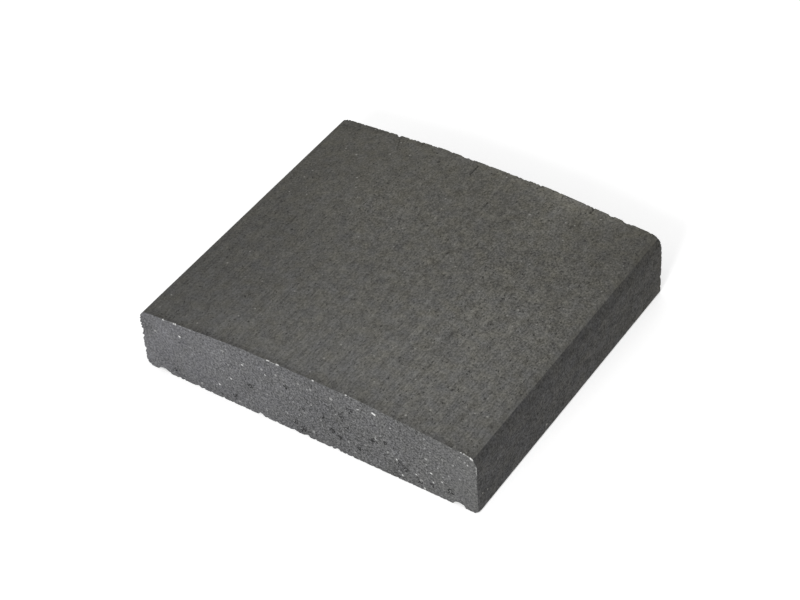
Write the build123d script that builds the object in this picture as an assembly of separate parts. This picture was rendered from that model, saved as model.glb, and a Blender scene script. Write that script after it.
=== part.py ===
from build123d import *
import os

# Coping stone for the top of a garden wall: one piece of extruded concrete, cut to length.
# It lies on a mortar bed with an overhang on both sides of the wall, and butts end to end
# with the next stone. Rain runs from a flat crown down two gentle slopes, over the rounded
# upper arrises, and drops off at the drip groove under each overhang.
# X runs across the wall, Y along it and Z up. The origin is the middle of the bed face.
# All sizes are in millimetres.

# The block
WIDTH = 280.0  # across the wall, both overhangs included
LENGTH = 250.0  # along the wall, from cut end to cut end
CROWN_HEIGHT = 60.0  # from the bed to the flat crown

# The weathered top and the long edges
CROWN_WIDTH = 94.0  # the flat strip along the middle
SLOPE_FALL = 7.0  # from the crown down to where a slope would meet its side face
CROWN_EASE_RADIUS = 80.0  # the soft break between crown and slope
ARRIS_RADIUS = 9.0  # the rounded upper long edges
BED_ARRIS_RADIUS = 2.0  # the slightly rounded lower long edges

# The drip grooves
DRIP_WIDTH = 10.0  # at the mouth
DRIP_DEPTH = 4.0
DRIP_FROM_SIDE = 15.0  # from the side face to the middle of the groove


def outline():
    """The edge of the section: flat bed, upright sides, slopes and crown, with its corners rounded."""
    side = WIDTH / 2
    crown_edge = CROWN_WIDTH / 2
    side_height = CROWN_HEIGHT - SLOPE_FALL
    corners = [
        ((side, 0), BED_ARRIS_RADIUS),
        ((side, side_height), ARRIS_RADIUS),
        ((crown_edge, CROWN_HEIGHT), CROWN_EASE_RADIUS),
        ((-crown_edge, CROWN_HEIGHT), CROWN_EASE_RADIUS),
        ((-side, side_height), ARRIS_RADIUS),
        ((-side, 0), BED_ARRIS_RADIUS),
    ]
    points = [point for point, radius in corners]
    radii = [radius for point, radius in corners]
    return FilletPolyline(*points, radius=radii, close=True)


def cut_drip_grooves():
    """Takes a groove with an arc for its roof out of the bed, under each overhang."""
    roof_radius = (DRIP_WIDTH**2 / 4 + DRIP_DEPTH**2) / (2 * DRIP_DEPTH)
    across = WIDTH / 2 - DRIP_FROM_SIDE
    arc_centre_height = DRIP_DEPTH - roof_radius
    with Locations((across, arc_centre_height), (-across, arc_centre_height)):
        Circle(roof_radius, mode=Mode.SUBTRACT)


def coping_stone():
    """The section, extruded both ways along the wall from its middle."""
    with BuildSketch(Plane.XZ) as section:
        with BuildLine():
            outline()
        make_face()
        cut_drip_grooves()
    return extrude(section.sketch, amount=LENGTH / 2, both=True)


os.makedirs("parts", exist_ok=True)
export_step(coping_stone(), "parts/coping_stone.step")
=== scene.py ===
import math

import bmesh
import bpy
from mathutils import Matrix, Vector, geometry, kdtree, noise


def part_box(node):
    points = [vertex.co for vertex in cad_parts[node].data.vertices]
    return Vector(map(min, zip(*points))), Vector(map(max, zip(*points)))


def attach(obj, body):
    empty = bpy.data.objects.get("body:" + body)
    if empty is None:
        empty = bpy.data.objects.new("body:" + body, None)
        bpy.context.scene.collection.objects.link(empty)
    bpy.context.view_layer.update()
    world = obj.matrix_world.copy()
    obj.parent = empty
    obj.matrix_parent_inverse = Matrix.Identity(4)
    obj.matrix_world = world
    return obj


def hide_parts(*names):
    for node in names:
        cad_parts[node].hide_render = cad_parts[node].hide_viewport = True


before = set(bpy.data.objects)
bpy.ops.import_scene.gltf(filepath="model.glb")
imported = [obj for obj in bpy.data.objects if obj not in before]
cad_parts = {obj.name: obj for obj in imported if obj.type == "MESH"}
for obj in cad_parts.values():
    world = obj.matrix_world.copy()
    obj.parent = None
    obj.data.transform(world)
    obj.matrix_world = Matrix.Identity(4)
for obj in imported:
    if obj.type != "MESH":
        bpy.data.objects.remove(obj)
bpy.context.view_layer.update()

# The coping stone: the block and its grid
# One piece of anthracite concrete, pressed out as a long bar and cut to length with a blade while
# it is still green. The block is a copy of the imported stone, divided into a grid that is finest on
# the two cut ends, where the grain of the concrete lies open.
MM = 0.001
SKIN_GRID = 2.2 * MM  # top and long sides
BED_GRID = 8.0 * MM  # across the underside
END_GRID = 0.8 * MM  # cut ends, about a pixel of the photograph
ARRIS_STRIP = 3.0 * MM  # skin beside the ends that is divided as finely as they are
SKIN, CUT_END = 0, 1  # places of the two finishes in the material list
WELD = 0.001 * MM  # corners closer than this are one
FLAT = math.radians(0.2)  # neighbouring faces that turn by less than this are one
LEVEL = 0.1 * MM  # places that differ by less than this in a direction are level there
SLICE_SNAP = 0.12 * MM  # a slice that passes this close to a corner goes through it

lowest, highest = (Vector(corner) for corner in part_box("coping_stone"))
width, length, height = highest - lowest


def runs_lengthways(edge):
    start, end = edge.verts
    return abs(start.co.y - end.co.y) > LEVEL


block = bmesh.new()
block.from_mesh(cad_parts["coping_stone"].data)
bmesh.ops.remove_doubles(block, verts=block.verts, dist=WELD)
bmesh.ops.dissolve_limit(block, angle_limit=FLAT, verts=block.verts, edges=block.edges)

# The bar without its ends is divided along its length and then round its section.
ends = [face for face in block.faces if abs(face.normal.y) > 0.5]
bmesh.ops.delete(block, geom=ends, context="FACES_ONLY")
long_edges = [edge for edge in block.edges if runs_lengthways(edge)]
bmesh.ops.subdivide_edges(block, edges=long_edges, cuts=round(length / SKIN_GRID) - 1)
edges_by_cuts = {}
for edge in block.edges:
    if not runs_lengthways(edge):
        under = all(vert.co.z < LEVEL for vert in edge.verts)
        cuts = round(edge.calc_length() / (BED_GRID if under else SKIN_GRID)) - 1
        if cuts > 0:
            edges_by_cuts.setdefault(cuts, []).append(edge)
for cuts, edges in edges_by_cuts.items():
    bmesh.ops.subdivide_edges(block, edges=edges, cuts=cuts)
strip = [face for face in block.faces if abs(face.calc_center_median().y) > length / 2 - ARRIS_STRIP]
strip_edges = {edge for face in strip for edge in face.edges}
bmesh.ops.subdivide_edges(block, edges=list(strip_edges), cuts=2, use_grid_fill=True)

# The ends are closed, sliced into upright strips, and each strip is divided down its height.
rims = [edge for edge in block.edges if edge.is_boundary]
for face in bmesh.ops.holes_fill(block, edges=rims, sides=0)["faces"]:
    face.material_index = CUT_END
slices = round(width / END_GRID)
for number in range(1, slices):
    ends = [face for face in block.faces if face.material_index == CUT_END]
    parts = {part for face in ends for part in (face, *face.edges, *face.verts)}
    place = (lowest.x + width * number / slices, 0, 0)
    bmesh.ops.bisect_plane(block, geom=list(parts), plane_co=place, plane_no=(1, 0, 0), dist=SLICE_SNAP)
uprights = [edge for edge in block.edges if all(face.material_index == CUT_END for face in edge.link_faces)]
bmesh.ops.subdivide_edges(block, edges=uprights, cuts=round(height / END_GRID) - 1)

# The coping stone: wear
# The blade tears sand out of the green ends and leaves them pitted, and their arrises crumble when
# the stones are handled. The dragged skin of the top has a few short tears and pinholes.
# Places are in millimetres from the middle of the bed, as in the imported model.
NEAR, FAR = round(lowest.y / MM), round(highest.y / MM)  # the cut ends
LEFT, RIGHT = round(lowest.x / MM), round(highest.x / MM)  # the long sides
CRUMBLE_REACH = 2.4  # how far from a cut arris the crumbling goes
LOWER_EDGE = 8  # below this the near end's arris crumbles in larger pieces
SOUND_FROM = 45  # to the right of this its lower edge is sounder
RUB_AND_HIGHLIGHT_WIDTH = 2  # how far from a cut arris it is paler, from rubbing and a painted highlight
QUARTZ_DEPTH = 0.7  # how far in from an end its bare grains go
DARK_TEAR = 0.6  # a tear of this depth is as dark as it gets, partly painted shade
MARK_MARGIN = 1.6  # skin round a tear or a speck of grit that is divided more finely
SIDE_TILT = 41.0  # degrees: where the smooth top skin ends on the rounded arris
SHARP_FROM = math.radians(38)  # an edge that turns by more than this shows as sharp
GROOVE_WALLS = 119, 131  # of a drip groove, from the middle of the bed
GROOVE_ROOF = 4.5  # the roof of a groove lies below this
SLUMP_REACH = 14  # how far in from the near end that roof has sagged
# Nicks in the arrises of the ends: place, radius and depth
NICKS = [
    ((LEFT, NEAR, 34), 1.8, 1.2),
    ((LEFT, NEAR, 0), 4.2, 0.9),
    ((-94, NEAR, 0), 1.8, 0.9),
    ((-39, NEAR, 0), 2.4, 1.6),
    ((0.6, NEAR, 0), 2.6, 0.9),
    ((26, NEAR, 0), 2.2, 1.3),
    ((RIGHT, NEAR, 0), 3.0, 1.0),
    ((-85, FAR, 57), 2.0, 1.0),
    ((-25, FAR, 60), 1.8, 0.7),
    ((25, FAR, 60), 2.0, 0.6),
    ((39, FAR, 60), 1.6, 0.5),
    ((98, FAR, 56), 2.0, 0.8),
    ((110, FAR, 55), 2.2, 0.9),
    ((RIGHT, FAR, 48), 12.0, 0.5),
]
# Tears and pinholes in the top: start, end, half width and depth
TEARS = [
    ((-12.3, 121, 60), (-12.5, 110, 60), 0.8, 0.9),
    ((15.8, 89, 60), (15.8, 88, 60), 1.0, 0.9),
    ((15.8, 88, 60), (16.0, 80, 60), 0.7, 0.4),
    ((84.0, 125, 57), (84.3, 119, 57), 1.0, 1.1),
    ((-83.0, 123, 57), (-76.4, 108, 58), 0.7, 0.3),
    ((-111, 77, 55), (-111, 32, 55), 0.8, 0.2),
    ((20, 28, 60), (20, 27.5, 60), 0.9, 0.6),
    ((59, 93, 59), (59, 92, 59), 0.8, 0.6),
    ((21, -57, 60), (21, -58, 60), 0.9, 0.7),
    ((112, -37, 55), (112, -38, 55), 0.9, 0.7),
    ((54, -67, 59), (54, -68, 59), 0.8, 0.5),
    ((-47.3, 118.6, 60), (-46.4, 118.2, 60), 0.9, 0.7),
    ((-51.5, 111.5, 60), (-51, 111.2, 60), 0.8, 0.6),
    ((-48, 113, 60), (-47.6, 113.4, 60), 0.7, 0.5),
    ((-40.6, 109.6, 60), (-39.8, 110.6, 60), 0.9, 0.6),
    ((12.6, 41, 60), (12.6, 40, 60), 0.8, 0.6),
    ((33, 46, 60), (34, 45.4, 60), 1.2, 0.4),
    ((30.3, 68, 60), (30.3, 67, 60), 0.8, 0.4),
    ((38.8, 121, 60), (38.8, 120, 60), 0.8, 0.5),
    ((70, 58.5, 58.2), (72.5, 61.5, 58.1), 0.7, 0.4),
    ((-134, 117, 53.5), (-104, 122.5, 55.7), 0.9, 0.25),
]
# Pale grit in the skin: place and radius
GRIT = [
    ((13, 120, 60), 0.8), ((-13, 77, 60), 0.8), ((49, 93, 60), 0.9), ((94, 117, 56.5), 0.9),
    ((8, -87, 60), 0.8), ((81, -118, 57.5), 1.0), ((92, -105, 56.6), 0.9), ((126, -89, 54), 0.9),
    ((92, 6, 56.6), 0.9), ((RIGHT, -119, 16), 0.9), ((RIGHT, -113, 14), 0.8), ((RIGHT, -37, 7), 1.2),
    ((-41, 121.5, 60), 0.9), ((-101.5, 90.5, 56), 0.9), ((-78.5, 102, 57.6), 0.8),
    ((-85, 67.5, 57), 0.9),
]
# Places on the near end where sand has been torn out: place across, height and reach
TORN_OUT = [
    (40, 46, 2.6), (-45, 25.5, 3.0), (-13, 40.5, 2.4), (-60, 8.5, 2.6), (-2, 6, 2.8), (-8, 10, 2.2),
    (24, 18, 2.0), (29, 15, 2.0), (33, 36, 2.4), (57, 26.5, 2.0), (67, 29, 2.0), (78, 16, 2.8),
    (83, 12, 2.4), (94, 7.5, 2.6), (118, 10.5, 3.0), (104, 8.5, 2.0), (-113, 7.5, 1.8), (-1, 27, 2.0),
    (45, 12, 2.2), (-73, 4, 1.8), (16, 27, 1.6), (10, 54, 1.6), (36, 27, 1.8), (74, 4, 2.0),
    (-49, 49, 1.4),
]
LOOSENED = [(across, up, 1.5 * reach) for across, up, reach in TORN_OUT]  # the sand round them is loose too
LOOSE_STRETCH = 40, 18, 65, 24  # where most sand is loose: place across, height, and reach across and up
# Pale pebbles cut through on the near end: place across, height and radius
PEBBLES = [
    (25, 49.5, 1.9), (-21, 48.5, 1.6), (8, 49.5, 1.5), (-66, 49, 1.4), (60, 29.5, 1.7),
    (-15, 15.5, 1.6), (95, 8, 2.1), (100, 32, 1.4), (-127, 38.5, 1.6), (-33, 48, 1.2), (8, 34, 1.4),
    (-90, 5, 1.6), (-2, 50, 1.2), (-10, 9.5, 1.3), (7, 8, 1.3), (-57, 4, 1.5), (-33, 8.5, 1.2),
    (69, 21.5, 1.3),
]
# Quartz grains that the blade has laid bare on the near end: place across, height and radius
QUARTZ = [
    (-117.5, 54.1, 0.8), (-108, 54.8, 0.8), (-106.5, 55, 0.8), (-102, 55.3, 0.5), (-104.5, 44, 0.9),
    (-73.5, 13, 0.9), (-62, 24.5, 0.7), (-50, 44, 0.7), (-30.5, 44, 0.7), (-27, 60, 0.9),
    (-25.8, 60, 0.7), (-19, 60, 0.9), (-18, 60, 0.8), (11, 60, 0.9), (38, 60, 0.8), (47, 51, 0.6),
    (59, 53.6, 1.0), (60.5, 53.2, 1.0), (76, 18, 0.8), (80, 5, 0.6), (91.5, 12, 0.6), (97.5, 2, 0.7),
    (103.5, 20, 0.8), (105, 12, 0.7), (112, 16, 0.6), (128, 54, 0.4), (130.5, 53.6, 0.5),
    (133, 44, 0.6), (135.4, 52.3, 0.8), (136.7, 51.6, 0.9), (139.6, 45, 0.4), (139.7, 39, 0.5),
]
# Stretches where the arris of the near end is paler, rubbed and with a painted highlight: place across,
# height and reach
RUBBED_AND_HIGHLIT = [(-109, 54.8, 6), (-23, 60, 7), (40, 60, 5), (132, 53.2, 6), (139.9, 42, 9)]
# Broad pale and dark patches of the near end: place across, height, reach and tone
SMUDGES = [
    (-135, 40, 10, -0.1), (-120, 38, 9, 0.05), (-122, 15, 8, -0.09), (-48, 22, 7, -0.03),
    (-36, 17, 8, 0.04), (-10, 42, 9, 0.05), (0, 22, 7, 0.04), (84, 45, 10, -0.05), (133, 34, 7, 0.05),
    (-108, 3, 10, -0.09), (-88, 3, 10, -0.06), (-66, 4, 8, -0.05), (-72, 44, 9, 0.06),
    (22, 32, 11, -0.05), (0, 3, 7, -0.08), (74, 3, 8, -0.06), (-104, 38, 8, -0.05),
]
FAR_END_STEP = 61.0  # the far end has the same marks, moved along by this much
# Broad pale and dark patches of the top, partly lime bloom and partly painted light, which pales it towards
# the near right corner: place across and along, reach across and along, and tone
PATCHES = [
    (50, NEAR, 95, 95, 0.24), (LEFT, -60, 60, 60, -0.22), (LEFT, 60, 40, 80, -0.14),
    (135, 105, 35, 35, -0.16), (-30, 50, 45, 45, 0.06), (70, 122, 36, 14, 0.24),
    (85, -25, 45, 45, 0.17), (0, NEAR, 400, 4, -0.35), (0, FAR, 90, 8, 0.1), (64, 88, 14, 38, 0.17),
    (103, -57, 12, 9, 0.16), (25, -116, 18, 7, -0.12), (-108, FAR, 36, 3.5, -0.3),
    (-128, 117, 9, 4, -0.15), (-116, -108, 20, 14, -0.08), (-72, -106, 14, 12, 0.1),
    (84, -86, 14, 12, 0.12), (122, -44, 12, 12, -0.12), (66, -40, 14, 12, -0.1),
    (-110, 6, 16, 14, -0.08), (55, -118, 24, 8, -0.1), (20, 119, 30, 7, 0.06), (100, 119, 22, 8, 0.06),
]
# Stretches of the top where the sand stands out more or less: places and reaches as above, and gain
SANDY = [
    (0, NEAR, 400, 90, -0.2), (-45, 45, 45, 30, 0.2), (125, 112, 40, 40, -0.22),
    (115, -10, 45, 35, 0.1),
]


def gap_to(tear, spot):
    """How far a spot lies from the line of a tear."""
    start, end = (Vector(place) for place in tear[:2])
    foot, share = geometry.intersect_point_line(spot, start, end)
    nearest = start.lerp(end, min(max(share, 0), 1))
    return (spot - nearest).length


def has_small_marks(face):
    spot = face.calc_center_median() / MM
    if any(gap_to(tear, spot) < tear[2] + MARK_MARGIN for tear in TEARS):
        return True
    return any((spot - Vector(place)).length < radius + MARK_MARGIN for place, radius in GRIT)


torn = [face for face in block.faces if face.material_index == SKIN and has_small_marks(face)]
torn_edges = {edge for face in torn for edge in face.edges if edge.calc_length() > END_GRID}
bmesh.ops.subdivide_edges(block, edges=list(torn_edges), cuts=3, use_grid_fill=True)
bmesh.ops.triangulate(block, faces=[face for face in block.faces if len(face.verts) > 4])
block.normal_update()

# What the finishes read at each corner of the grid
hollow_and_shade = block.verts.layers.float.new("hollow_and_shade")  # tears in the skin, loose sand on an end; the darkening they give is partly painted shade
pebble = block.verts.layers.float.new("pebble")  # pale grit in the skin, pebbles on an end
quartz = block.verts.layers.float.new("quartz")  # bare quartz
arris = block.verts.layers.float.new("arris")  # nearness to an arris of an end, paler where rubbed and with a painted highlight
flank = block.verts.layers.float.new("flank")  # tilt of the skin: half where the flank begins
bloom_and_light = block.verts.layers.float.new("bloom_and_light")  # broad patches of the top, partly painted light
sandy = block.verts.layers.float.new("sandy")  # how strongly the sand of the top stands out
smudge = block.verts.layers.float.new("smudge")  # broad patches of an end


def shade(patches, spot):
    """The sum of some soft oval patches of the top at a spot."""
    return sum(
        tone * math.exp(-((spot.x - across) / wide) ** 2 - ((spot.y - along) / long) ** 2)
        for across, along, wide, long, tone in patches
    )


def across_near_end(spot):
    """The place on the near end that has the same marks as this spot on either end."""
    if spot.y < 0:
        return Vector((spot.x, NEAR, spot.z))
    return Vector(((spot.x - LEFT + FAR_END_STEP) % (RIGHT - LEFT) + LEFT, NEAR, spot.z))


def mark(marks, spot):
    """How deep a spot lies inside the nearest of some round marks: 1 in a middle, 0 on a rim or outside."""
    return max(0, max(1 - math.hypot(spot.x - across, spot.z - up) / radius for across, up, radius in marks))


def smudge_tone(spot):
    """The sum of the broad patches of the near end at a spot."""
    return sum(
        tone * math.exp(-((spot.x - across) ** 2 + (spot.z - up) ** 2) / reach ** 2)
        for across, up, reach, tone in SMUDGES
    )


def grit_share(spot):
    """1 well inside a speck of grit in the skin, and 0 outside; it goes past 1 in the middle."""
    return max(0, max(2.5 - 2.5 * (spot - Vector(place)).length / radius for place, radius in GRIT))


def looseness(spot):
    """How freely sand has come out at a spot on a cut end, from 0 to about 0.7."""
    across, up, wide, high = LOOSE_STRETCH
    crowd = math.exp(-((spot.x - across) / wide) ** 2 - ((spot.z - up) / high) ** 2)
    return 0.2 * crowd + 0.54 * min(1, 1.6 * mark(LOOSENED, spot))


def pit_depth(loose, spot):
    """How deep a pit is at a spot on a cut end where the sand is this loose, in millimetres."""
    return 0.9 * min(0.6, max(0, loose + 0.5 * noise.noise(spot / 1.5) - 0.4))


def end_sink(spot):
    """How far the grain of a cut end lies back at a spot, in millimetres: rougher towards the right."""
    tooth = 0.65 + 0.35 * min(max((spot.x + 90) / 90, 0), 1)
    grain = 0.07 * noise.noise(spot / 2.0) + 0.07 * noise.noise(spot / 1.2 + Vector((7, 3, 5)))
    return max(0, 0.05 + 0.05 * noise.noise(spot / 9) + tooth * grain)


def skin_sink(spot):
    """How far the skin lies back at a spot, in millimetres: drag lines, lumps and a gentle wave."""
    drag = noise.noise(Vector((spot.x / 3.5, spot.y / 40, spot.z / 3.5)))
    return max(0, 0.04 + 0.03 * drag + 0.04 * noise.noise(spot / 4) + 0.03 * noise.noise(spot / 20))


def tear_depth(spot):
    """How deep the tears are at a spot on the skin, in millimetres."""
    depth = 0
    for tear in TEARS:
        share = gap_to(tear, spot) / (tear[2] * (1 + 0.4 * noise.noise(spot / 1.5)))
        if share < 1:
            depth = max(depth, tear[3] * (1 - share * share))
    return depth


def crumble(spot):
    """How far the arris of an end has crumbled at a place on it, in millimetres: most at the near left."""
    fine = noise.noise(spot / 1.4)
    coarse = noise.noise(spot / 4.5 + Vector((11, 0, 4)))
    if spot.y > 0:
        return 1.2 * max(0, fine - 0.2) + 1.5 * max(0, coarse - 0.2)
    if spot.x < LEFT + 1:
        return 3.6 * max(0, fine) + 1.4 * max(0, coarse - 0.3)
    weak = 0.3
    if spot.z < LOWER_EDGE:
        fine = noise.noise(spot / 2.2)
        weak = 1.0 if spot.x < SOUND_FROM else 0.4
    return weak * (1.8 * max(0, fine - 0.05) + 0.8 * max(0, coarse - 0.3))


def groove_slump(spot):
    """How far the roof of a drip groove has sagged at a spot on it, in millimetres: more on the left."""
    inner, outer = GROOVE_WALLS
    if not (inner < abs(spot.x) < outer and 0.1 < spot.z < GROOVE_ROOF):
        return 0
    share = 0.3 if spot.x < 0 else 0.15
    return share * spot.z * max(0, 1 - (spot.y - NEAR) / SLUMP_REACH)


rim = [vert for vert in block.verts if len({face.material_index for face in vert.link_faces}) == 2]
rim_places = [vert.co / MM for vert in rim]
rim_outward = [vert.normal.copy() for vert in rim]
rim_tree = kdtree.KDTree(len(rim))
for number, place in enumerate(rim_places):
    rim_tree.insert(place, number)
rim_tree.balance()

for vert in block.verts:
    spot = vert.co / MM
    shift = Vector()
    skin_normals = [face.normal for face in vert.link_faces if face.material_index == SKIN]
    if skin_normals:
        outward = sum(skin_normals, Vector()).normalized()
        tear = tear_depth(spot)
        vert[hollow_and_shade] = min(1, tear / DARK_TEAR)
        vert[flank] = math.degrees(math.acos(min(1, outward.z))) / SIDE_TILT / 2
        vert[bloom_and_light] = shade(PATCHES, spot)
        vert[sandy] = 1 + shade(SANDY, spot)
        vert[pebble] = grit_share(spot)
        shift -= outward * (skin_sink(spot) + tear)
        shift.z -= groove_slump(spot)
    if len(skin_normals) < len(vert.link_faces):
        same = across_near_end(spot)
        vert[hollow_and_shade] = looseness(same)
        vert[smudge] = smudge_tone(same)
        vert[pebble] = min(1, 1.8 * mark(PEBBLES, same))
        stone_share = max(vert[pebble], mark(QUARTZ, same))  # stones stand out of the sand round them
        outward = Vector((0, math.copysign(1, spot.y), 0))
        shift -= outward * (end_sink(spot) + pit_depth(vert[hollow_and_shade], same)) * (1 - 0.7 * stone_share)
    if abs(spot.y) > FAR - QUARTZ_DEPTH:
        vert[quartz] = min(1, 2.5 * mark(QUARTZ, across_near_end(spot)))
    rim_place, number, gap = rim_tree.find(spot)
    vert[arris] = max(0, 1 - gap / RUB_AND_HIGHLIGHT_WIDTH) * (0.8 + 0.8 * mark(RUBBED_AND_HIGHLIT, across_near_end(spot)))
    if gap < CRUMBLE_REACH:
        shift -= rim_outward[number] * crumble(rim_place) * (1 - gap / CRUMBLE_REACH) ** 2
    for middle, radius, depth in NICKS:
        share = (spot - Vector(middle)).length / (radius * (1 + 0.5 * noise.noise(spot / 1.3)))
        if share < 1:
            shift -= rim_outward[number] * depth * (1 - share * share)
    vert.co += shift * MM

mesh = bpy.data.meshes.new("coping_stone_worn")
block.to_mesh(mesh)
block.free()
mesh.shade_smooth()
mesh.set_sharp_from_angle(angle=SHARP_FROM)
stone = bpy.data.objects.new("coping_stone_worn", mesh)
bpy.context.collection.objects.link(stone)
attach(stone, "root")
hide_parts("coping_stone")


# The coping stone: its two finishes
# The skin that the mould has dragged smooth, finest on the top, and the torn grain of the cut ends.
# Both are the same concrete: dark pigment in the cement, grey sand, pale pebbles and a little quartz.
def linear(hex_colour):
    channels = [int(hex_colour[at:at + 2], 16) / 255 for at in (1, 3, 5)]
    return (*(c / 12.92 if c <= 0.04045 else ((c + 0.055) / 1.055) ** 2.4 for c in channels), 1)


def add(tree, kind, inputs=None, **settings):
    """Adds one node. An input is a plain value, a socket, or a node whose first live output is linked."""
    made = tree.nodes.new("ShaderNode" + kind)
    for name, value in settings.items():
        setattr(made, name, value)
    for place, value in (inputs or {}).items():
        if isinstance(value, bpy.types.Node):
            value = next(output for output in value.outputs if output.enabled)
        if isinstance(value, bpy.types.NodeSocket):
            tree.links.new(value, made.inputs[place])
        else:
            made.inputs[place].default_value = value
    return made


def new_tree(name):
    material = bpy.data.materials.new(name)
    material.use_nodes = True
    material.node_tree.nodes.clear()
    return material, material.node_tree


FACTOR, FIRST, SECOND = 0, 6, 7  # sockets of a colour Mix node
TONE_CURVE = 1.6  # a power that keeps the sand as strong in dark places as in pale ones
QUARTZ_WHITE = linear("#f4f4f2")


def specks(tree, where, spacing, share, radius):
    """Mask of round specks, one in each of a share of the cells of a pattern with this spacing."""
    cells = add(tree, "TexVoronoi", {"Vector": where, "Scale": 1 / spacing})
    draw = add(tree, "SeparateColor", {"Color": cells.outputs["Color"]})
    chosen = add(tree, "Math", {0: draw, 1: share}, operation="LESS_THAN")
    inside = add(tree, "MapRange", {
        "Value": cells, "From Min": 0.6 * radius / spacing, "From Max": 1.2 * radius / spacing,
        "To Min": 1.0, "To Max": 0.0,
    })
    return add(tree, "Math", {0: chosen, 1: inside}, operation="MULTIPLY")


def lay_on_stone(material, tree, grey, bump):
    """Ends a finish as dry concrete, which hardly shines, and adds it to the stone's list."""
    shader = add(tree, "BsdfPrincipled", {
        "Base Color": grey,
        "Roughness": 0.95,
        "Specular IOR Level": 0.2,
        "Normal": bump,
    })
    add(tree, "OutputMaterial", {"Surface": shader})
    mesh.materials.append(material)


# Extruded skin: matt and sandy, each sand grain its own grey. Drag lines run along the top, strongest near
# the front, and lime bloom with painted light pales it towards the near right corner. The flanks, from part
# of the way round the arris, are darker and have no drag lines, and painted shade darkens them under the
# arris. Pinholes, darkened partly by painted shade, are strewn over all of it, pale grit over the top.
ARRIS_FOOT, ARRIS_HEAD = 38 * MM, 51.5 * MM  # heights between which a flank darkens towards the top: painted shade under the arris
HOLLOW_DARK_AND_SHADE = linear("#2a2a28")  # inside a pinhole or a tear: its darker inside with painted shade
skin, tree = new_tree("extruded_concrete_skin")
where = add(tree, "TexCoord").outputs["Object"]
across, along, up = add(tree, "SeparateXYZ", {0: where}).outputs
# The sand is about half a millimetre, too fine to show, so it is drawn at 1.35 mm, and a little longer
# along the stone.
sand_scale = (1 / (1.35 * MM), 1 / (1.7 * MM), 1 / (1.35 * MM))
sand_place = add(tree, "Mapping", {"Vector": where, "Scale": sand_scale})
sand = add(tree, "TexNoise", {"Vector": sand_place, "Scale": 1.0, "Detail": 3.0, "Roughness": 0.7})
clump_scale = (1 / (6 * MM), 1 / (9 * MM), 1 / (6 * MM))  # places where the sand lies closer together
clump_place = add(tree, "Mapping", {"Vector": where, "Scale": clump_scale})
clumps = add(tree, "TexNoise", {"Vector": clump_place, "Scale": 1.0, "Detail": 2.0, "Roughness": 0.6})
drag_scale = (1 / (1.5 * MM), 1 / (30 * MM), 1 / (1.5 * MM))  # a drag line is 1.5 mm wide and 30 mm long
drag_place = add(tree, "Mapping", {"Vector": where, "Scale": drag_scale})
drag = add(tree, "TexNoise", {"Vector": drag_place, "Scale": 1.0, "Detail": 2.0})
# Sand and its clumps, and the drag lines of the top
clump_tone = add(tree, "Math", {0: clumps, 1: 0.9, 2: -1.95}, operation="MULTIPLY_ADD")
sand_tone = add(tree, "Math", {0: sand, 1: 3.0, 2: clump_tone}, operation="MULTIPLY_ADD")
drag_tone = add(tree, "Math", {0: drag, 1: 0.5}, operation="SUBTRACT")
drag_gain = add(tree, "MapRange", {
    "Value": along, "From Min": 60 * MM, "From Max": -70 * MM, "To Min": 0.3, "To Max": 1.1,
})
rough = add(tree, "Math", {0: drag_tone, 1: drag_gain, 2: sand_tone}, operation="MULTIPLY_ADD")
# The top: sand more open towards the right, pressed smooth round the arris, the broad patches with their
# painted light, and painted shade where it turns round the arris
tooth = add(tree, "MapRange", {
    "Value": across, "From Min": -120 * MM, "From Max": 80 * MM, "To Min": 0.29, "To Max": 0.47,
})
contrast = add(tree, "Attribute", attribute_name="sandy").outputs["Fac"]
tooth = add(tree, "Math", {0: tooth, 1: contrast}, operation="MULTIPLY")
tilt = add(tree, "Attribute", attribute_name="flank").outputs["Fac"]
pressed = add(tree, "MapRange", {
    "Value": tilt, "From Min": 0.1, "From Max": 0.45, "To Min": 1.0, "To Max": 0.55,
})
tooth = add(tree, "Math", {0: tooth, 1: pressed}, operation="MULTIPLY")
# Lime bloom and painted light: the near right corner of the top is paler
lime_and_light = add(tree, "Attribute", attribute_name="bloom_and_light").outputs["Fac"]
patch = add(tree, "Math", {0: lime_and_light, 1: 0.41, 2: 0.539}, operation="MULTIPLY_ADD")
# The top darkens as it turns round the arris: painted shade
patch = add(tree, "Math", {0: tilt, 1: -0.1, 2: patch}, operation="MULTIPLY_ADD")
top_tone = add(tree, "Math", {0: rough, 1: tooth, 2: patch}, operation="MULTIPLY_ADD")
top_tone = add(tree, "Math", {0: top_tone, 1: TONE_CURVE}, operation="POWER")
top = add(tree, "Mix", {
    FACTOR: top_tone, FIRST: linear("#2a2928"), SECOND: linear("#8a8984"),
}, data_type="RGBA")
# The flanks: darkest and smoothest under the arris, where the darkening is painted shade, and a little paler
# just above the bed, painted light from the white floor
shaded = add(tree, "MapRange", {
    "Value": up, "From Min": ARRIS_FOOT, "From Max": ARRIS_HEAD, "To Min": 0.405, "To Max": 0.272,
})
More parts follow.
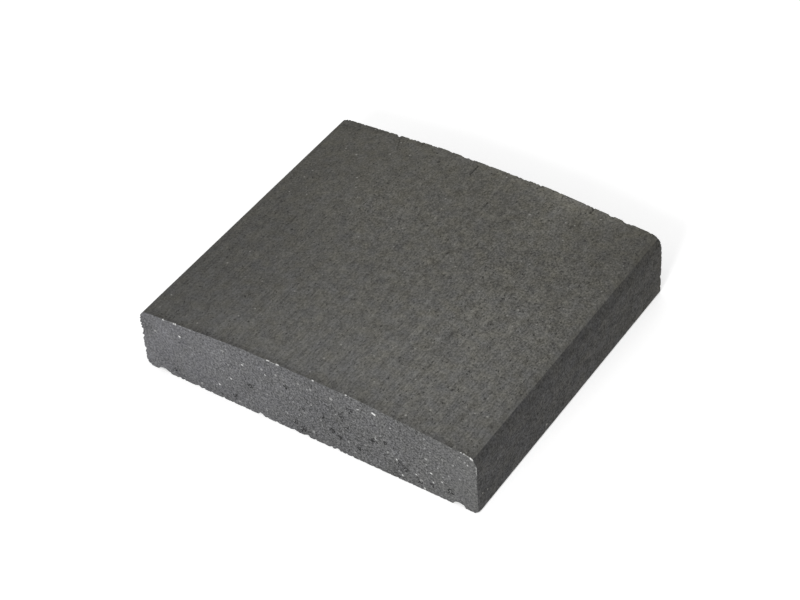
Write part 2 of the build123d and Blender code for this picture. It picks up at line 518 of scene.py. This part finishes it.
# Paler just above the bed: painted light from the white floor
painted_floor_light = add(tree, "MapRange", {"Value": up, "From Min": 12 * MM, "From Max": 2 * MM, "To Max": 0.08})
shaded = add(tree, "Math", {0: shaded, 1: painted_floor_light}, operation="ADD")
flank_gain = add(tree, "MapRange", {
    "Value": up, "From Min": ARRIS_FOOT, "From Max": ARRIS_HEAD, "To Min": 0.7, "To Max": 0.4,
})
flank_tone = add(tree, "Math", {0: sand_tone, 1: flank_gain, 2: shaded}, operation="MULTIPLY_ADD")
flank_grey = add(tree, "Mix", {
    FACTOR: flank_tone, FIRST: linear("#262625"), SECOND: linear("#6e6d6c"),
}, data_type="RGBA")
ragged = add(tree, "Math", {0: sand_tone, 1: 0.003, 2: tilt}, operation="MULTIPLY_ADD")
is_flank = add(tree, "MapRange", {"Value": ragged, "From Min": 0.49, "From Max": 0.51})
grey = add(tree, "Mix", {FACTOR: is_flank, FIRST: top, SECOND: flank_grey}, data_type="RGBA")
# A faint tint, warmer towards the far end
tint = add(tree, "TexNoise", {"Vector": where, "Scale": 1 / (9 * MM), "Detail": 1.0})
warmth = add(tree, "Math", {0: along, 1: 1.5, 2: tint}, operation="MULTIPLY_ADD")
hue = add(tree, "Mix", {
    FACTOR: warmth, FIRST: linear("#f5f7ff"), SECOND: linear("#fffcf0"),
}, data_type="RGBA")
grey = add(tree, "Mix", {FACTOR: 1.0, FIRST: grey, SECOND: hue}, data_type="RGBA", blend_type="MULTIPLY")
# Pinholes, pale grit, tears and bare quartz; pinholes and tears are darkened partly by painted shade
pore_scale = (1 / (1.5 * MM), 1 / (2.6 * MM), 1 / (1.5 * MM))  # pinholes are torn out along the drag
pore_place = add(tree, "Mapping", {"Vector": where, "Scale": pore_scale})
pores = add(tree, "TexNoise", {"Vector": pore_place, "Scale": 1.0, "Detail": 1.0})
pores = add(tree, "MapRange", {"Value": pores, "From Min": 0.35, "From Max": 0.27})
# Pinholes darkened: partly their darker inside, partly painted shade
pinhole_shade_share = add(tree, "Math", {0: pores, 1: 0.8}, operation="MULTIPLY")
grey = add(tree, "Mix", {FACTOR: pinhole_shade_share, FIRST: grey, SECOND: HOLLOW_DARK_AND_SHADE}, data_type="RGBA")
pale_place = add(tree, "Mapping", {"Vector": where, "Location": (0.5, 0.2, 0.7)})
pale = specks(tree, pale_place, 7.0 * MM, 0.3, 0.7 * MM)
pale = add(tree, "Math", {0: pale, 1: is_flank}, operation="SUBTRACT")
grit = add(tree, "Attribute", attribute_name="pebble").outputs["Fac"]
pale = add(tree, "Math", {0: pale, 1: grit}, operation="MAXIMUM")
pale_share = add(tree, "Math", {0: pale, 1: 0.7}, operation="MULTIPLY")
grey = add(tree, "Mix", {FACTOR: pale_share, FIRST: grey, SECOND: linear("#93928d")}, data_type="RGBA")
# Tears darkened: partly their darker inside, partly painted shade
shaded_hollow = add(tree, "Attribute", attribute_name="hollow_and_shade").outputs["Fac"]
shaded_hollow = add(tree, "Math", {0: shaded_hollow, 1: 0.7}, operation="MULTIPLY")
grey = add(tree, "Mix", {FACTOR: shaded_hollow, FIRST: grey, SECOND: HOLLOW_DARK_AND_SHADE}, data_type="RGBA")
bare = add(tree, "Attribute", attribute_name="quartz").outputs["Fac"]
grey = add(tree, "Mix", {FACTOR: bare, FIRST: grey, SECOND: QUARTZ_WHITE}, data_type="RGBA")
height_map = add(tree, "Math", {0: pores, 1: -0.8, 2: rough}, operation="MULTIPLY_ADD")
bump = add(tree, "Bump", {"Height": height_map, "Strength": 0.4, "Distance": 0.1 * MM})
lay_on_stone(skin, tree, grey, bump)

# Cut end: open sandy grain, each sand grain its own grey, paler and smoother towards the left, and a
# little smoother at the far right too. It has dark pits, darkened partly by painted shade, pale pebbles and
# bare quartz, and an arris that is paler in places, rubbed and with a painted highlight.
cut_end, tree = new_tree("cut_concrete_grain")
where = add(tree, "TexCoord").outputs["Object"]
across = add(tree, "SeparateXYZ", {0: where}).outputs["X"]
# Sand, drawn coarse enough to show as on the skin, and single grains of 1 mm
sand = add(tree, "TexNoise", {"Vector": where, "Scale": 1 / (1.6 * MM), "Detail": 3.0, "Roughness": 0.65})
grains = add(tree, "TexVoronoi", {"Vector": where, "Scale": 1 / (1.0 * MM)})
grain_draw = add(tree, "SeparateColor", {"Color": grains.outputs["Color"]})
sand_tone = add(tree, "Math", {0: sand, 1: 2.2, 2: -1.275}, operation="MULTIPLY_ADD")
grain_tone = add(tree, "Math", {0: grain_draw, 1: 0.35, 2: sand_tone}, operation="MULTIPLY_ADD")
tooth = add(tree, "MapRange", {
    "Value": across, "From Min": -110 * MM, "From Max": 20 * MM, "To Min": 0.52, "To Max": 0.64,
})
smoother = add(tree, "MapRange", {
    "Value": across, "From Min": 80 * MM, "From Max": 130 * MM, "To Min": 1.0, "To Max": 0.75,
})
tooth = add(tree, "Math", {0: tooth, 1: smoother}, operation="MULTIPLY")
paler = add(tree, "MapRange", {
    "Value": across, "From Min": -130 * MM, "From Max": 0.0, "To Min": 0.58, "To Max": 0.476,
})
patch = add(tree, "Attribute", attribute_name="smudge").outputs["Fac"]
patch = add(tree, "Math", {0: paler, 1: patch}, operation="ADD")
tone = add(tree, "Math", {0: grain_tone, 1: tooth, 2: patch}, operation="MULTIPLY_ADD")
tone = add(tree, "Math", {0: tone, 1: TONE_CURVE}, operation="POWER")
grey = add(tree, "Mix", {
    FACTOR: tone, FIRST: linear("#2c2c2c"), SECOND: linear("#a4a4a4"),
}, data_type="RGBA")
# A faint tint, cooler towards the left
tint = add(tree, "TexNoise", {"Vector": where, "Scale": 1 / (8 * MM), "Detail": 1.0})
warmth = add(tree, "Math", {0: across, 1: 3.0, 2: tint}, operation="MULTIPLY_ADD")
hue = add(tree, "Mix", {
    FACTOR: warmth, FIRST: linear("#f9f9ff"), SECOND: linear("#fffffd"),
}, data_type="RGBA")
grey = add(tree, "Mix", {FACTOR: 1.0, FIRST: grey, SECOND: hue}, data_type="RGBA", blend_type="MULTIPLY")
# Pale grains, pits with ragged rims darkened partly by painted shade, lumpy pebbles, the rubbed arris with
# its painted highlight, and bare quartz
pale = specks(tree, where, 4.5 * MM, 0.25, 0.8 * MM)
pale_gain = add(tree, "MapRange", {
    "Value": across, "From Min": -110 * MM, "From Max": 20 * MM, "To Min": 0.3, "To Max": 0.55,
})
pale_share = add(tree, "Math", {0: pale, 1: pale_gain}, operation="MULTIPLY")
grey = add(tree, "Mix", {FACTOR: pale_share, FIRST: grey, SECOND: linear("#b4b4b4")}, data_type="RGBA")
shaded_hollow = add(tree, "Attribute", attribute_name="hollow_and_shade").outputs["Fac"]
ragged = add(tree, "TexNoise", {"Vector": where, "Scale": 1 / (1.4 * MM), "Detail": 2.0, "Roughness": 0.6})
loose = add(tree, "Math", {0: shaded_hollow, 1: 0.34, 2: ragged}, operation="MULTIPLY_ADD")
# Pits darkened almost to black: partly the darker matrix, partly painted shade
shaded_hollow = add(tree, "MapRange", {"Value": loose, "From Min": 0.66, "From Max": 0.72, "To Max": 0.87})
grey = add(tree, "Mix", {FACTOR: shaded_hollow, FIRST: grey, SECOND: linear("#202020")}, data_type="RGBA")
stone_share = add(tree, "Attribute", attribute_name="pebble").outputs["Fac"]
lumpy = add(tree, "Math", {0: ragged, 1: -6.0, 2: 4.0}, operation="MULTIPLY_ADD")
stone_share = add(tree, "Math", {0: stone_share, 1: lumpy}, operation="MULTIPLY")
stone_share = add(tree, "MapRange", {
    "Value": stone_share, "From Min": 0.28, "From Max": 0.75, "To Max": 0.78,
})
grey = add(tree, "Mix", {FACTOR: stone_share, FIRST: grey, SECOND: linear("#a2a2a1")}, data_type="RGBA")
# Paler along parts of the end arrises: rubbed wear and a painted highlight
worn_and_highlit = add(tree, "Attribute", attribute_name="arris").outputs["Fac"]
worn_and_highlit = add(tree, "Math", {0: worn_and_highlit, 1: sand}, operation="MULTIPLY")
worn_and_highlit = add(tree, "MapRange", {"Value": worn_and_highlit, "From Min": 0.48, "From Max": 0.65, "To Max": 0.7})
grey = add(tree, "Mix", {FACTOR: worn_and_highlit, FIRST: grey, SECOND: linear("#b4b4b2")}, data_type="RGBA")
bare = add(tree, "Attribute", attribute_name="quartz").outputs["Fac"]
grey = add(tree, "Mix", {FACTOR: bare, FIRST: grey, SECOND: QUARTZ_WHITE}, data_type="RGBA")
bump = add(tree, "Bump", {"Height": grain_tone, "Strength": 0.6, "Distance": 0.25 * MM})
lay_on_stone(cut_end, tree, grey, bump)

# The floor and the light
# A white paper floor under even studio light, with one soft lamp in front of the near end, a little to
# its right and about 35 degrees up.
floor_mesh = bpy.data.meshes.new("floor")
plane = bmesh.new()
bmesh.ops.create_grid(plane, x_segments=1, y_segments=1, size=6)
plane.to_mesh(floor_mesh)
plane.free()
floor = bpy.data.objects.new("floor", floor_mesh)
bpy.context.collection.objects.link(floor)


def seen_directly(tree):
    """1 for rays from the camera, from a mirror or through glass, and 0 for rays that carry light."""
    path = add(tree, "LightPath").outputs
    seen = add(tree, "Math", {0: path["Is Camera Ray"], 1: path["Is Glossy Ray"]}, operation="MAXIMUM")
    return add(tree, "Math", {0: seen, 1: path["Is Transmission Ray"]}, operation="MAXIMUM")


paper, tree = new_tree("white_paper_sweep")
seen = seen_directly(tree)
white = add(tree, "Mix", {
    FACTOR: seen, FIRST: linear("#e7e7e7"), SECOND: linear("#ffffff"),
}, data_type="RGBA")
glow = add(tree, "Math", {0: seen, 1: 0.32}, operation="MULTIPLY")
matt = add(tree, "BsdfDiffuse", {"Color": white})
light = add(tree, "Emission", {"Strength": glow})
both = add(tree, "AddShader", {0: matt, 1: light})
add(tree, "OutputMaterial", {"Surface": both})
floor_mesh.materials.append(paper)

world = bpy.data.worlds.new("studio")
world.use_nodes = True
tree = world.node_tree
tree.nodes.clear()
fill = add(tree, "Background", {"Color": (1, 1, 1, 1), "Strength": 0.68})
backdrop = add(tree, "Background", {"Color": (1, 1, 1, 1), "Strength": 1.0})
sky = add(tree, "MixShader", {0: seen_directly(tree), 1: fill, 2: backdrop})
add(tree, "OutputWorld", {"Surface": sky})
bpy.context.scene.world = world

KEY_PLACE = Vector((0.30, -1.00, 0.72))  # metres from the middle of the bed
key_lamp = bpy.data.lights.new("key", "AREA")
key_lamp.size = 0.25
key_lamp.energy = 6.1
key = bpy.data.objects.new("key", key_lamp)
key.location = KEY_PLACE
key.rotation_euler = (-KEY_PLACE).to_track_quat("-Z", "Y").to_euler()
bpy.context.collection.objects.link(key)

# The camera
# It stands where the photograph was taken from: to the right of the near end, high, and tilted a little.
PHOTO_WIDTH = 800  # pixels
FOCAL_LENGTH = 2136.2  # pixels
VIEW_AZIMUTH = math.radians(36.458)
VIEW_ELEVATION = math.radians(42.990)
VIEW_ROLL = math.radians(4.209)
VIEW_MIDDLE = Vector((-0.02017, 0.02202, 0))  # where the view axis meets the floor, in metres
VIEW_DISTANCE = 1.5685  # metres from there

towards_camera = Vector((
    math.sin(VIEW_AZIMUTH) * math.cos(VIEW_ELEVATION),
    -math.cos(VIEW_AZIMUTH) * math.cos(VIEW_ELEVATION),
    math.sin(VIEW_ELEVATION),
))
camera = bpy.data.objects.new("camera", bpy.data.cameras.new("camera"))
camera.data.sensor_width = 36
camera.data.lens = camera.data.sensor_width * FOCAL_LENGTH / PHOTO_WIDTH
level = (-towards_camera).to_track_quat("-Z", "Y").to_matrix()
turned = level @ Matrix.Rotation(-VIEW_ROLL, 3, "Z")
camera.matrix_world = Matrix.Translation(VIEW_MIDDLE + VIEW_DISTANCE * towards_camera) @ turned.to_4x4()
bpy.context.collection.objects.link(camera)
bpy.context.scene.camera = camera
bpy.context.scene.view_settings.view_transform = "Standard"
